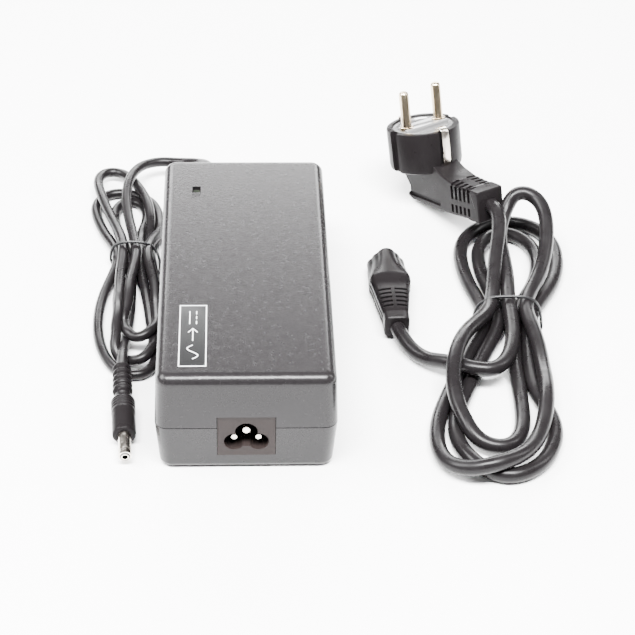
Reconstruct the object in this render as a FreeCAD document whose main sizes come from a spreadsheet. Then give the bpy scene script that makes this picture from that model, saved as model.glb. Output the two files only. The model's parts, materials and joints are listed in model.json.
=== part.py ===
"""Laptop power adapter: a two-shell brick with its electronics, a captive DC lead and a loose mains lead.

Millimetres, +Z up.  The origin is the middle of the brick's underside; the mains inlet faces -Y and
the DC lead leaves the back wall, at +Y.  The mains lead lies unplugged to the right of the brick.
"""
import FreeCAD, Part
import math
import os
import re

import Sketcher
from FreeCAD import Placement, Rotation, Vector

# ---------------------------------------------------------------- driving dimensions

DIMENSIONS = {
    # case
    "case_width": 75.0, "case_length": 164.0, "case_height": 48.0, "seam_height": 23.0,
    "top_draft": 2.3, "bottom_draft": 4.2, "corner_radius": 5.5, "top_edge_radius": 4.5,
    "bottom_edge_radius": 3.0, "wall": 2.5, "reveal_height": 0.35, "reveal_depth": 1.7,
    "cavity_width": 68.4, "cavity_length": 157.4,
    "tongue_thick": 1.1, "tongue_height": 2.0, "tongue_gap": 0.12,
    # badge, lamp window and label
    "badge_width": 11.4, "badge_length": 40.8, "badge_thick": 0.45, "badge_x": -21.8, "badge_y": -52.4,
    "recess_gap": 0.2,
    "lamp_x": -21.7, "lamp_y": 49.0, "lamp_width": 3.8, "lamp_length": 8.7, "lamp_depth": 1.7,
    "lens_width": 2.8, "lens_length": 2.6, "lens_height": 6.0,
    "label_width": 52.0, "label_length": 96.0, "label_thick": 0.2,
    # mains inlet
    "inlet_width": 23.8, "inlet_height": 20.5, "inlet_depth": 21.0, "inlet_low": 7.7,
    "inlet_face": 81.2, "inlet_gap": 0.2, "inlet_cavity": 14.0, "inlet_line": 15.0,
    "pole_spacing": 10.0, "earth_rise": 5.0, "pole_lobe": 4.2, "earth_lobe": 4.7,
    "pole_pin": 1.2, "earth_pin": 1.5, "pole_recess": 2.9, "earth_recess": 1.3,
    # circuit board and the parts on it
    "board_width": 64.0, "board_length": 148.0, "board_thick": 1.6, "board_low": 6.0, "post_radius": 3.0,
    "bulk_radius": 10.0, "bulk_height": 33.0, "output_radius": 5.0, "output_height": 21.0,
    "sink_thick": 2.0, "sink_height": 30.0, "sink_length": 46.0,
    "core_width": 32.0, "core_length": 28.0, "core_height": 30.0, "core_leg": 6.0,
    "choke_ring": 7.0, "choke_section": 3.2, "screw_head": 2.8, "screw_radius": 1.5,
    # DC lead
    "dc_diameter": 4.8, "gland_x": -15.0, "gland_length": 24.0, "gland_hole": 4.4,
    "barrel_radius": 2.75, "barrel_length": 12.0, "barrel_bore": 1.25, "plug_length": 42.0,
    # mains lead
    "mains_diameter": 6.8, "pin_radius": 2.4, "pin_length": 19.0, "pin_spacing": 19.0,
    "pin_tip": 1.6, "pin_step": 0.2, "pin_root": 10.0,
    "drum_radius": 18.0, "drum_height": 20.0, "neck_width": 15.0,
    "strip_width": 4.6, "strip_thick": 1.4, "strip_length": 18.0, "face_thick": 2.0,
    "nose_length": 13.5, "nose_pole": 3.9, "nose_earth": 4.4, "connector_length": 52.0,
    "connector_width": 19.5, "connector_height": 14.4, "connector_tail": 10.6,
    "tie_thick": 1.4, "tie_width": 3.0,
}

doc = FreeCAD.newDocument("laptop_power_adapter")
dims = doc.addObject("Spreadsheet::Sheet", "dims")
for row, (alias, value) in enumerate(DIMENSIONS.items(), start=1):
    dims.set(f"A{row}", alias)
    dims.set(f"B{row}", str(value))
    dims.setAlias(f"B{row}", alias)
doc.recompute()

pieces = []


def size(alias):
    return float(dims.get(alias))


def bind(thing, **formulas):
    """Tie properties to formulas of the sheet's aliases; a double underscore stands for a dot."""
    for name, formula in formulas.items():
        tied = re.sub(r"[a-z_]+", lambda word: f"dims.{word[0]}" if word[0] in DIMENSIONS else word[0], formula)
        thing.setExpression(name.replace("__", "."), tied)
    return thing


def finished(thing, label):
    """Name a sub-part and put it on the list of those that are exported."""
    thing.Label = label
    pieces.append(thing)
    return thing


# ---------------------------------------------------------------- sketch and feature helpers

def new_body(label):
    return finished(doc.addObject("PartDesign::Body", label), label)


def new_sketch(body, role="XY_Plane", lift="0", along="0"):
    sketch = body.newObject("Sketcher::SketchObject", body.Label + "_sketch")
    support = next(plane for plane in body.Origin.OriginFeatures if plane.Role == role)
    sketch.AttachmentSupport = [(support, "")]
    sketch.MapMode = "FlatFace"
    return bind(sketch, AttachmentOffset__Base__z=lift, AttachmentOffset__Base__x=along)


def add_rectangle(sketch, width, height, middle_y="0", prefix="outer"):
    """A rectangle centred on the sketch's Y axis, its middle at middle_y; all four values are bound."""
    first = sketch.GeometryCount
    corners = [Vector(-5, -5), Vector(5, -5), Vector(5, 5), Vector(-5, 5)]
    for index in range(4):
        sketch.addGeometry(Part.LineSegment(corners[index], corners[(index + 1) % 4]), False)
    for index in range(4):
        sketch.addConstraint(Sketcher.Constraint("Coincident", first + index, 2, first + (index + 1) % 4, 1))
    sketch.addConstraint(Sketcher.Constraint("Horizontal", first + 2))
    for index in (1, 3):
        sketch.addConstraint(Sketcher.Constraint("Vertical", first + index))
    sketch.addConstraint(Sketcher.Constraint("Symmetric", first, 1, first, 2, -2))
    wide = sketch.addConstraint(Sketcher.Constraint("DistanceX", first, 1, first, 2, 10.0))
    tall = sketch.addConstraint(Sketcher.Constraint("DistanceY", first + 1, 1, first + 1, 2, 10.0))
    low = sketch.addConstraint(Sketcher.Constraint("DistanceY", first, 1, -1, 1, 5.0))
    for index, name, formula in ((wide, "wide", width), (tall, "tall", height),
                                 (low, "low", f"({height}) / 2 - ({middle_y})")):
        sketch.renameConstraint(index, f"{prefix}_{name}")
        bind(sketch, **{f"Constraints__{prefix}_{name}": formula})


def add_circle(sketch, radius, x=0.0, y=0.0, prefix="round"):
    """A circle with a bound radius; its centre is fixed at x, y."""
    index = sketch.addGeometry(Part.Circle(Vector(x, y), Vector(0, 0, 1), 1.0), False)
    held = sketch.addConstraint(Sketcher.Constraint("Radius", index, 1.0))
    sketch.renameConstraint(held, f"{prefix}_radius")
    sketch.addConstraint(Sketcher.Constraint("DistanceX", -1, 1, index, 3, x))
    sketch.addConstraint(Sketcher.Constraint("DistanceY", -1, 1, index, 3, y))
    bind(sketch, **{f"Constraints__{prefix}_radius": radius})


def add_outline(sketch, points):
    """A closed outline of straight lines through fixed corners."""
    first = sketch.GeometryCount
    for start, end in zip(points, points[1:] + points[:1]):
        sketch.addGeometry(Part.LineSegment(Vector(*start), Vector(*end)), False)
    for index in range(len(points)):
        after = first + (index + 1) % len(points)
        sketch.addConstraint(Sketcher.Constraint("Coincident", first + index, 2, after, 1))
        sketch.addConstraint(Sketcher.Constraint("Block", first + index))


def recomputed(made):
    doc.recompute()
    if "Invalid" in made.State:
        raise RuntimeError(f"{made.Name} failed")
    return made


def feature(body, kind, sketch, length, reverse=False, midplane=False, draft=None):
    """A Pad or Pocket of a sketch, with its length and draft bound to the sheet."""
    made = body.newObject(f"PartDesign::{kind}", f"{body.Label}_{kind.lower()}")
    made.Profile = sketch
    made.Reversed = reverse
    made.Midplane = midplane
    bind(made, Length=length)
    if draft:
        bind(made, TaperAngle=draft)
    return recomputed(made)


def pocket(body, sketch, length, reverse=False, midplane=False):
    """A pocket that must take material away."""
    before = body.Shape.Volume
    made = feature(body, "Pocket", sketch, length, reverse, midplane)
    if body.Shape.Volume >= before - 1e-3:
        raise RuntimeError(f"{body.Label}: a pocket cuts nothing")
    return made


def fillet(body, radius, wanted):
    """Round those edges of the body's tip for which wanted(edge) is true."""
    tip = body.Tip
    names = [f"Edge{i}" for i, edge in enumerate(tip.Shape.Edges, start=1) if wanted(edge)]
    if not names:
        raise RuntimeError(f"{body.Label}: no edge to round")
    made = body.newObject("PartDesign::Fillet", f"{body.Label}_fillet")
    made.Base = (tip, names)
    bind(made, Radius=radius)
    return recomputed(made)


def revolve(label, outline, middle=None, spin=None):
    """A turned piece: an outline of (distance along the axis, radius) about its own X axis."""
    body = new_body(label)
    sketch = new_sketch(body)
    add_outline(sketch, outline)
    made = body.newObject("PartDesign::Revolution", label + "_revolution")
    made.Profile = sketch
    made.ReferenceAxis = (sketch, ["H_Axis"])
    made.Angle = 360.0
    doc.recompute()
    if middle is not None:
        body.Placement = Placement(middle, spin or Rotation())
    return body


def box(label, length, width, height, x=0.0, y=0.0, z=0.0):
    """A bound box, centred on x and y and standing on z; not yet on the list."""
    made = bind(doc.addObject("Part::Box", label), Length=length, Width=width, Height=height)
    doc.recompute()
    made.Placement = Placement(Vector(x - made.Length.Value / 2, y - made.Width.Value / 2, z), Rotation())
    return made


def cylinder(label, radius, height, x=0.0, y=0.0, z=0.0, turn=None):
    made = bind(doc.addObject("Part::Cylinder", label), Radius=radius, Height=height)
    made.Placement = Placement(Vector(x, y, z), turn or Rotation())
    return made


def cut(label, base, tool):
    made = doc.addObject("Part::Cut", label)
    made.Base, made.Tool = base, tool
    return made


def join(label, shapes):
    made = doc.addObject("Part::MultiFuse", label)
    made.Shapes = shapes
    return made


def group(label, shapes):
    """Separate solids that share one node."""
    made = doc.addObject("Part::Compound", label)
    made.Links = shapes
    return finished(made, label)


def free_shape(label, shape, place=None):
    """A sub-part whose shape is worked out here from the sheet's values."""
    made = doc.addObject("Part::Feature", label)
    made.Shape = shape
    if place is not None:
        made.Placement = place
    return finished(made, label)


ALONG_MINUS_Y = Rotation(Vector(1, 0, 0), 90)
ALONG_PLUS_Y = Rotation(Vector(1, 0, 0), -90)

# ---------------------------------------------------------------- case shells

def upright(edge):
    """True for an edge that runs mostly up and down."""
    rise = edge.BoundBox.ZLength
    return rise > 2.0 and rise > 3.0 * max(edge.BoundBox.XLength, edge.BoundBox.YLength)


def level(height):
    """A test for edges that lie at one height, on the outside of the case."""
    outside = size("cavity_width") / 2 + 0.2
    reach = size("cavity_length") / 2 + 0.2

    def wanted(edge):
        b = edge.BoundBox
        flat = b.ZLength < 0.01 and abs(b.ZMin - height) < 0.05
        return flat and (max(abs(b.XMin), abs(b.XMax)) > outside or max(abs(b.YMin), abs(b.YMax)) > reach)
    return wanted


def round_port(body):
    """The half-round hole for the DC lead's gland, in the back wall at the seam."""
    sketch = new_sketch(body, "XZ_Plane", "-case_length / 2 - 2")
    add_circle(sketch, "gland_hole", size("gland_x"), size("seam_height"))
    pocket(body, sketch, "wall + 4.5", reverse=True)


def inlet_port(body):
    """The window for the mains inlet, in the front wall across the seam."""
    sketch = new_sketch(body, "XZ_Plane", "case_length / 2 + 1")
    add_rectangle(sketch, "inlet_width + 2 * inlet_gap", "inlet_height + 2 * inlet_gap",
                  "inlet_low + inlet_height / 2")
    pocket(body, sketch, "wall + 4")


def make_top_cover():
    body = new_body("top_cover")
    outline = new_sketch(body, lift="seam_height")
    add_rectangle(outline, "case_width", "case_length")
    feature(body, "Pad", outline, "case_height - seam_height", draft="-top_draft")
    fillet(body, "corner_radius", upright)
    fillet(body, "top_edge_radius", level(size("case_height")))
    hollow = new_sketch(body, lift="seam_height")
    add_rectangle(hollow, "cavity_width", "cavity_length")
    pocket(body, hollow, "case_height - seam_height - wall", reverse=True)
    inlet_port(body)
    round_port(body)

    badge = new_sketch(body, lift="case_height", along="badge_x")
    add_rectangle(badge, "badge_width + 2 * recess_gap", "badge_length + 2 * recess_gap", "badge_y")
    pocket(body, badge, "badge_thick + 0.1")

    ramp = new_sketch(body, "YZ_Plane", "lamp_x")
    front, top = size("lamp_y"), size("case_height")
    back, deep = front + size("lamp_length"), top - size("lamp_depth")
    add_outline(ramp, [(front, top), (back, deep), (back, top + 1.0), (front, top + 1.0)])
    pocket(body, ramp, "lamp_width", midplane=True)
    window = new_sketch(body, lift="case_height", along="lamp_x")
    add_rectangle(window, "lens_width", "lens_length", "lamp_y + lamp_length - lens_length / 2 - 0.4")
    pocket(body, window, "wall + 2")


def make_bottom_cover():
    body = new_body("bottom_cover")
    outline = new_sketch(body, lift="seam_height - reveal_height")
    add_rectangle(outline, "case_width", "case_length")
    feature(body, "Pad", outline, "seam_height - reveal_height", reverse=True, draft="-bottom_draft")
    fillet(body, "corner_radius", upright)
    fillet(body, "bottom_edge_radius", level(0.0))
    step = new_sketch(body, lift="seam_height - reveal_height")
    add_rectangle(step, "case_width - 2 * reveal_depth", "case_length - 2 * reveal_depth")
    feature(body, "Pad", step, "reveal_height")
    tongue = new_sketch(body, lift="seam_height")
    add_rectangle(tongue, "cavity_width - 2 * tongue_gap", "cavity_length - 2 * tongue_gap")
    feature(body, "Pad", tongue, "tongue_height")
    hollow = new_sketch(body, lift="seam_height + tongue_height")
    add_rectangle(hollow, "cavity_width - 2 * tongue_gap - 2 * tongue_thick",
                  "cavity_length - 2 * tongue_gap - 2 * tongue_thick")
    pocket(body, hollow, "seam_height + tongue_height - wall")
    posts = new_sketch(body, lift="wall")
    places = [(x, y) for x in (-27.0, 27.0) for y in (-20.0, 66.0)]
    for number, (x, y) in enumerate(places):
        add_circle(posts, "post_radius", x, y, f"post_{'abcd'[number]}")
    feature(body, "Pad", posts, "board_low - wall")
    inlet_port(body)
    round_port(body)
    label = new_sketch(body)
    add_rectangle(label, "label_width + 2 * recess_gap", "label_length + 2 * recess_gap")
    pocket(body, label, "label_thick + 0.1", reverse=True)


make_top_cover()
make_bottom_cover()


def make_trim():
    """The badge plate, the blank label, and the lamp behind its window."""
    top, lamp_x = size("case_height"), size("lamp_x")
    badge_low = top - size("badge_thick") - 0.1
    finished(box("badge_plate", "badge_width", "badge_length", "badge_thick",
                 size("badge_x"), size("badge_y"), badge_low), "badge_plate")
    finished(box("rating_label", "label_width", "label_length", "label_thick", 0, 0, 0.1), "rating_label")
    lens_y = size("lamp_y") + size("lamp_length") - size("lens_length") / 2 - 0.4
    lens_top = top - size("lamp_depth") + 0.1
    lens = box("lamp_lens", "lens_width - 0.1", "lens_length - 0.1", "lens_height",
               lamp_x, lens_y, lens_top - size("lens_height"))
    finished(lens, "lamp_lens")
    stand = size("board_low") + size("board_thick")
    lamp_top = lens_top - size("lens_height") - 0.3
    globe = cylinder("lamp_globe", "lens_width / 2 + 0.1", "5", lamp_x, lens_y, lamp_top - 5)
    legs = [box(f"lamp_leg_{side}", "0.5", "0.5", "40", lamp_x, lens_y + offset, lamp_top - 5)
            for side, offset in (("front", -0.8), ("back", 0.8))]
    for leg in legs:
        leg.setExpression("Height", None)
        leg.Height = lamp_top - 5 - stand
        leg.Placement.Base.z = stand
    finished(join("lamp", [globe] + legs), "lamp")


make_trim()

# ---------------------------------------------------------------- mains inlet

def make_inlet():
    body = new_body("inlet_housing")
    face = new_sketch(body, "XZ_Plane", "inlet_face")
    add_rectangle(face, "inlet_width", "inlet_height", "inlet_low + inlet_height / 2")
    feature(body, "Pad", face, "inlet_depth", reverse=True)
    half, line = size("pole_spacing") / 2, size("inlet_line")
    poles = new_sketch(body, "XZ_Plane", "inlet_face")
    add_circle(poles, "pole_lobe", -half, line, "left")
    add_circle(poles, "pole_lobe", half, line, "right")
    pocket(body, poles, "inlet_cavity")
    earth = new_sketch(body, "XZ_Plane", "inlet_face")
    add_circle(earth, "earth_lobe", 0.0, line + size("earth_rise"), "top")
    pocket(body, earth, "inlet_cavity")
    web = new_sketch(body, "XZ_Plane", "inlet_face")
    add_rectangle(web, "pole_spacing", "earth_rise", "inlet_line + earth_rise / 2 - 2.4")
    pocket(body, web, "inlet_cavity")
    holes = new_sketch(body, "XZ_Plane", "inlet_face - inlet_cavity")
    add_circle(holes, "pole_pin", -half, line, "left")
    add_circle(holes, "pole_pin", half, line, "right")
    add_circle(holes, "earth_pin", 0.0, line + size("earth_rise"), "top")
    pocket(body, holes, "inlet_depth - inlet_cavity + 1")

    back = size("inlet_depth") - size("inlet_face")
    board_top = size("board_low") + size("board_thick")
    for name, x, z, radius, recess in (
            ("inlet_line_pin", half, line, "pole_pin", "pole_recess"),
            ("inlet_neutral_pin", -half, line, "pole_pin", "pole_recess"),
            ("inlet_earth_pin", 0.0, line + size("earth_rise"), "earth_pin", "earth_recess")):
        front = -size("inlet_face") + size(recess)
        rod = cylinder(name + "_rod", radius, f"inlet_depth - {recess} + 2.4", x, front, z, ALONG_PLUS_Y)
        tail = box(name + "_tail", "1.4", "1.0", "10", x, back + 1.6, board_top)
        tail.setExpression("Height", None)
        tail.Height = z - board_top
        finished(join(name, [rod, tail]), name)


make_inlet()

# ---------------------------------------------------------------- electronics

def make_board():
    """The circuit board, the parts standing on it and the heatsinks with their screws."""
    low = size("board_low")
    top = low + size("board_thick")
    finished(box("circuit_board", "board_width", "board_length", "board_thick", 0, -0.5, low), "circuit_board")
    finished(cylinder("bulk_capacitor", "bulk_radius", "bulk_height", -8, -21, top), "bulk_capacitor")
    group("output_capacitors", [cylinder(f"output_capacitor_{side}", "output_radius", "output_height", x, 49, top)
                                for side, x in (("left", -9), ("middle", 3), ("right", 15))])
    finished(box("x_capacitor", "12", "24", "19", 22, -41, top), "x_capacitor")
    group("y_capacitors", [cylinder(f"y_capacitor_{side}", "4", "3.5", x, 38, top + 4.4, ALONG_MINUS_Y)
                           for side, x in (("left", 2), ("right", 14))])
    finished(box("bridge_rectifier", "5", "20", "16", -27, -29, top), "bridge_rectifier")
    finished(box("fuse", "4", "8.5", "8", -26, -48, top), "fuse")
    finished(cylinder("thermistor", "5.5", "4.5", -15, -46, top + 6, ALONG_MINUS_Y), "thermistor")
    finished(box("control_chip", "6", "9", "2", 6, 63, top), "control_chip")
    group("optocouplers", [box(f"optocoupler_{side}", "6", "4.6", "3.6", x, 64, top)
                           for side, x in (("left", -5), ("right", 18))])

    choke_z = top + size("choke_ring") + size("choke_section") + 1.0
    core = bind(doc.addObject("Part::Torus", "choke_core"), Radius1="choke_ring", Radius2="choke_section")
    core.Placement = Placement(Vector(2, -44, choke_z), Rotation(Vector(0, 1, 0), 90))
    finished(core, "choke_core")
    collars = []
    ring, tube = size("choke_ring"), size("choke_section")
    for angle in (205, 155, 25, -25):
        turn = math.radians(angle)
        middle = Vector(2, -44 + ring * math.cos(turn), choke_z + ring * math.sin(turn))
        tangent = Vector(0, -math.sin(turn), math.cos(turn))
        collars.append(Part.makeTorus(tube + 0.75, 0.6, middle, tangent))
    free_shape("choke_winding", Part.makeCompound(collars))

    core_y = 15.0
    block = box("core_block", "core_width", "core_length / 2", "core_height", -1, core_y, top + 1)
    gap = box("core_window", "core_width - 2 * core_leg", "core_length", "core_height - 2 * core_leg",
              -1, core_y, top + 1 + size("core_leg"))
    limb = box("core_limb", "core_leg", "core_length / 2", "core_height - 2 * core_leg",
               -1, core_y, top + 1 + size("core_leg"))
    finished(join("transformer_core", [cut("core_frame", block, gap), limb]), "transformer_core")
    middle_z = top + 1 + size("core_leg")
    leg, wide = size("core_leg"), size("core_width")
    window = size("core_height") - 2 * leg
    wound = (wide - 2 * leg) / 2 - 2.0
    flanges = [Part.makeBox(2 * wound + 3.4, size("core_length") - 2, 1.2,
                            Vector(-1 - wound - 1.7, core_y - size("core_length") / 2 + 1, z))
               for z in (middle_z + 0.2, middle_z + window - 1.4)]
    sleeve = Part.makeBox(leg + 2.4, size("core_length") / 2 + 2.4, window - 0.4,
                          Vector(-1 - leg / 2 - 1.2, core_y - size("core_length") / 4 - 1.2, middle_z + 0.2))
    bobbin = sleeve.fuse(flanges)
    bore = Part.makeBox(leg + 0.4, size("core_length") / 2 + 0.4, window,
                        Vector(-1 - leg / 2 - 0.2, core_y - size("core_length") / 4 - 0.2, middle_z))
    free_shape("transformer_bobbin", bobbin.cut(bore))
    coil = Part.makeBox(2 * wound, size("core_length") - 4, window - 3.4,
                        Vector(-1 - wound, core_y - size("core_length") / 2 + 2, middle_z + 1.7))
    free_shape("transformer_winding", coil.cut(sleeve))

    screws = []
    for name, device, x, y, device_y, inward in (
            ("primary_heatsink", "switching_transistor", 27.0, 4.0, -6.0, -1),
            ("secondary_heatsink", "output_rectifier", -27.0, 29.0, 26.0, 1)):
        face = x + inward * size("sink_thick") / 2
        across = Rotation(Vector(0, 1, 0), 90 * inward)
        drills = [cylinder(f"{name}_drill_{number}", "screw_radius + 0.1", "12", x - inward * 3, device_y,
                           top + 19, across) for number in (1, 2)]
        plate = box(name + "_plate", "sink_thick", "sink_length", "sink_height", x, y, top)
        rim = box(name + "_rim", "4", "sink_length", "sink_thick", x + inward * 2, y,
                  top + size("sink_height") - size("sink_thick"))
        finished(cut(name, join(name + "_blank", [plate, rim]), drills[0]), name)
        case = box(device + "_case", "4.5", "10", "20", face + inward * 2.25, device_y, top + 4)
        finished(cut(device, case, drills[1]), device)
        head = cylinder(f"{name}_screw_head", "screw_head", "1.8", face + inward * 4.5, device_y, top + 19, across)
        shank = cylinder(f"{name}_screw_shank", "screw_radius", "8", face - inward * 3, device_y, top + 19, across)
        screws.append(join(f"{name}_screw", [head, shank]))
    group("heatsink_screws", screws)
    sheet = box("sheet_blank", "board_width", "board_length - 6", "0.4", 0, 0, low - 1.6)
    posts = [cylinder(f"sheet_hole_{number}", "post_radius + 0.3", "2", x, y, low - 2.4)
             for number, (x, y) in enumerate((x, y) for x in (-27.0, 27.0) for y in (-20.0, 66.0))]
    finished(cut("insulation_sheet", sheet, join("sheet_holes", posts)), "insulation_sheet")


make_board()

# ---------------------------------------------------------------- cords

def cord_path(points):
    """Straight runs joined by tangent arcs, each as large as its two runs allow; prints the radii."""
    edges, start, radii = [], points[0], []
    for before, corner, after in zip(points, points[1:], points[2:]):
        into, out = corner - before, after - corner
        half_turn = into.getAngle(out) / 2
        reach = 0.45 * min(into.Length, out.Length)
        radius = reach / math.tan(half_turn)
        into.normalize()
        out.normalize()
        first, last = corner - into * reach, corner + out * reach
        inward = (out - into).normalize()
        crown = corner + inward * (radius / math.cos(half_turn) - radius)
        edges += [Part.LineSegment(start, first), Part.Arc(first, crown, last)]
        start = last
        radii.append(round(radius, 1))
    edges.append(Part.LineSegment(start, points[-1]))
    return Part.Wire([edge.toShape() for edge in edges]), radii


def make_cord(label, points, diameter):
    """A round cord along its route, checked against its section times its length."""
    points = [Vector(*point) for point in points]
    path, radii = cord_path(points)
    ring = Part.Wire(Part.makeCircle(diameter / 2, points[0], points[1] - points[0]))
    solid = path.makePipeShell([ring], True, False)
    expected = math.pi * diameter ** 2 / 4 * path.Length
    print(f"{label}: length {path.Length:.0f}, radii {radii}, volume ratio {solid.Volume / expected:.4f}")
    if abs(solid.Volume / expected - 1) > 0.01:
        raise RuntimeError(f"{label}: the tube's volume is wrong")
    free_shape(label, solid)


def lobe(waist, left, tip, right, low, high):
    """One end of a hank: two straight sides from the waist and a round end through the tip."""
    corners = [Vector(x, y, low) for x, y in (waist[0], left, tip, right, waist[1])]
    edges = [Part.LineSegment(corners[0], corners[1]), Part.Arc(corners[1], corners[2], corners[3]),
             Part.LineSegment(corners[3], corners[4]), Part.LineSegment(corners[4], corners[0])]
    face = Part.Face(Part.Wire([edge.toShape() for edge in edges]))
    return face.extrude(Vector(0, 0, high - low))


def make_hank(label, waist_low, waist_high, lobes):
    """The outer shape of a tied hank: its waist and the lobes either side of it."""
    (x_low, y_low, z_low), (x_high, y_high, z_high) = waist_low, waist_high
    waist = Part.makeBox(x_high - x_low, y_high - y_low, z_high - z_low, Vector(*waist_low))
    free_shape(label, waist.fuse([lobe(*ends) for ends in lobes]).removeSplitter())


def make_tie(label, waist_low, waist_high, y):
    """A wire tie drawn round a hank's waist."""
    gap, thick, wide = 0.15, size("tie_thick"), size("tie_width")
    inner = [waist_low[0] - gap, waist_low[2] - gap, waist_high[0] + gap, waist_high[2] + gap]
    outer = Part.makeBox(inner[2] - inner[0] + 2 * thick, wide, inner[3] - inner[1] + 2 * thick,
                         Vector(inner[0] - thick, y - wide / 2, inner[1] - thick))
    hole = Part.makeBox(inner[2] - inner[0], wide + 2, inner[3] - inner[1],
                        Vector(inner[0], y - wide / 2 - 1, inner[1]))
    ring = outer.cut(hole)
    corners = [edge for edge in ring.Edges if edge.BoundBox.YLength > wide - 0.1]
    free_shape(label, ring.makeFillet(0.5, corners))


# ---------------------------------------------------------------- DC lead

def make_dc_lead():
    seam = size("seam_height")
    wall_out = size("case_length") / 2
    gland_end = wall_out + size("gland_length")
    hole = size("gland_hole") - 0.05
    outline = [(-6.2, 0.0), (-6.2, 6.2), (-4.8, 6.2), (-4.8, hole), (0.2, hole), (0.2, 5.6), (2.6, 5.6)]
    for ring in range(4):
        start = 3.2 + ring * 4.6
        radius = 4.9 - 0.32 * ring
        outline += [(start, radius), (start + 3.2, radius - 0.2), (start + 3.2, radius - 1.1),
                    (start + 4.4, radius - 1.2)]
    outline += [(21.8, 3.6), (size("gland_length"), 3.4), (size("gland_length"), 0.0)]
    revolve("dc_strain_relief", outline, Vector(size("gland_x"), wall_out, seam), Rotation(90, 0, 0))

    board_top = size("board_low") + size("board_thick")
    cores = []
    for offset in (-1.2, 1.2):
        x = size("gland_x") + offset
        route = [Vector(x, wall_out - 6.5, seam), Vector(x, 71.0, seam - 1.5), Vector(x * 1.03, 67.5, seam - 6.0),
                 Vector(x * 1.02, 66.5, board_top + 0.1)]
        path, _ = cord_path(route)
        ring = Part.Wire(Part.makeCircle(0.9, route[0], route[1] - route[0]))
        cores.append(path.makePipeShell([ring], True, False))
    free_shape("output_wires", Part.makeCompound(cores))

    make_cord("dc_cord_run", [
        (size("gland_x"), gland_end, seam), (-16.5, 118.0, 20.5), (-22.0, 131.0, 13.5),
        (-31.5, 139.5, 6.5), (-44.5, 141.5, 3.2), (-57.0, 135.0, 2.7)], size("dc_diameter"))
    waist = ((-61.0, 53.0, 1.7), (-43.0, 76.0, 14.0))
    make_hank("dc_cord_hank", *waist, [
        (((-61.0, 53.0), (-43.0, 53.0)), (-66.0, -8.0), (-53.3, -24.4), (-40.5, -8.0), 0.0, 9.5),
        (((-61.0, 76.0), (-43.0, 76.0)), (-74.0, 106.0), (-58.0, 139.0), (-40.5, 108.0), 0.0, 9.5)])
    make_tie("dc_tie", *waist, 64.5)

    start, tip = Vector(-53.7, -24.6, 8.7), Vector(-50.1, -78.8, 4.7)
    turn = Rotation(Vector(1, 0, 0), tip - start)
    grip, barrel = size("plug_length"), size("barrel_length")
    outline = [(0.0, 0.0), (0.0, 3.4)]
    for rib in range(5):
        begin, radius = 0.4 + rib * 3.4, 3.8 + 0.08 * rib
        outline += [(begin, radius), (begin + 2.0, radius), (begin + 2.0, radius - 0.6), (begin + 3.0, radius - 0.6)]
    sleeve, bore = size("barrel_radius"), size("barrel_bore")
    shank = sleeve - 0.35
    socket = shank + 0.02
    outline += [(17.6, 3.4), (20.4, 3.6), (21.4, 5.2), (29.0, 5.3), (30.0, 5.0), (grip - 0.6, 5.05),
                (grip, 4.6), (grip, socket), (grip - 6.0, socket), (grip - 6.0, 0.0)]
    revolve("dc_plug_grip", outline, start, turn)
    end = grip + barrel
    revolve("dc_plug_barrel", [(grip - 5.8, sleeve - 0.6), (grip - 5.8, shank), (grip, shank), (grip, sleeve),
                               (end - 0.2, sleeve), (end, sleeve - 0.2), (end, sleeve - 0.6)], start, turn)
    revolve("dc_plug_insulator", [(grip - 5.8, bore + 0.45), (grip - 5.8, sleeve - 0.62), (end + 0.5, sleeve - 0.62),
                                  (end + 0.5, bore + 0.45)], start, turn)
    revolve("dc_plug_contact", [(grip - 5.8, 0.0), (grip - 5.8, bore + 0.43), (end + 0.4, bore + 0.43),
                                (end + 0.4, bore), (grip + 1.0, bore), (grip + 1.0, 0.0)], start, turn)


make_dc_lead()

# ---------------------------------------------------------------- mains lead

# The plug leans back on its heel: its face looks up, and its neck points right and towards the front.
PLUG_PLACE = Placement(Vector(88.0, 126.0, 39.2), Rotation(-58.5, -16.2, -1.4))
CONNECTOR_PLACE = Placement(Vector(66.6, 57.0, 4.9), Rotation(2.0, 0, 0))


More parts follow.
